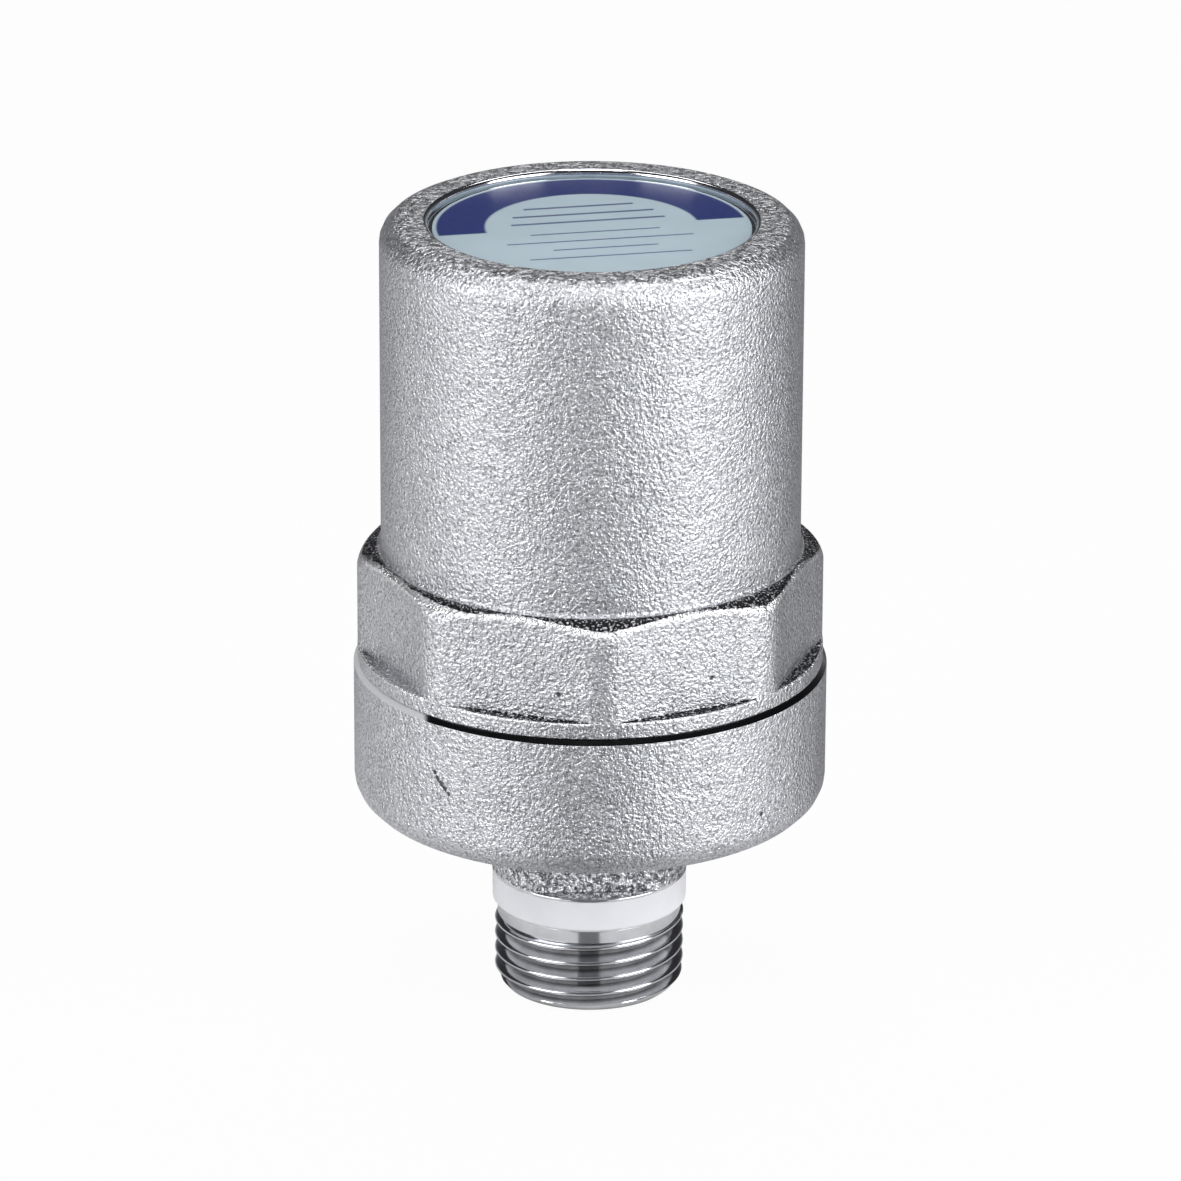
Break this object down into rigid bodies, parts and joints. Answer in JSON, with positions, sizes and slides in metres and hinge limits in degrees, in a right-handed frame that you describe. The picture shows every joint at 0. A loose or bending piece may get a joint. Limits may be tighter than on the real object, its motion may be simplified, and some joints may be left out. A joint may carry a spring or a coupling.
{
  "type": "water hammer arrestor",
  "caption": "Water hammer arrestor: plated brass casing with a wrench section, screwed into a base cup with a male inlet nipple, holding a sprung piston.",
  "frame": {"origin": "centre of the nipple's end face, on the axis; the lowest point of the part", "axes": "+Z along the axis from the inlet nipple up to the label; -Y is the side that faces the camera; X across"},
  "size_m": [0.052, 0.052, 0.0887],
  "materials": {
    "plated_casing": "forged brass, blasted and satin chrome plated",
    "plated_cup": "forged brass, blasted and satin chrome plated, machined thread and rim",
    "white_seal": "matte white fluoropolymer",
    "seal_rubber": "moulded black rubber",
    "printed_label": "printed self-adhesive film, pale blue with a dark blue band",
    "piston_plastic": "moulded engineering plastic",
    "spring_steel": "bright drawn spring wire"
  },
  "bodies": {
    "casing": {"upper_casing": "plated_casing", "base_cup": "plated_cup", "thread_seal_ring": "white_seal", "casing_o_ring": "seal_rubber", "label_disc": "printed_label", "spring": "spring_steel"},
    "piston": {"piston": "piston_plastic", "piston_o_ring_lower": "seal_rubber", "piston_o_ring_upper": "seal_rubber", "spring_washer": "spring_steel"}
  },
  "joints": [
    {"name": "piston_slide", "type": "slide", "parent": "casing", "child": "piston", "axis": [0, 0, 1], "range_m": [0, 0.022], "stiffness_N_per_m": 4800, "springref_m": -0.006, "deforming": ["spring"]}
  ]
}
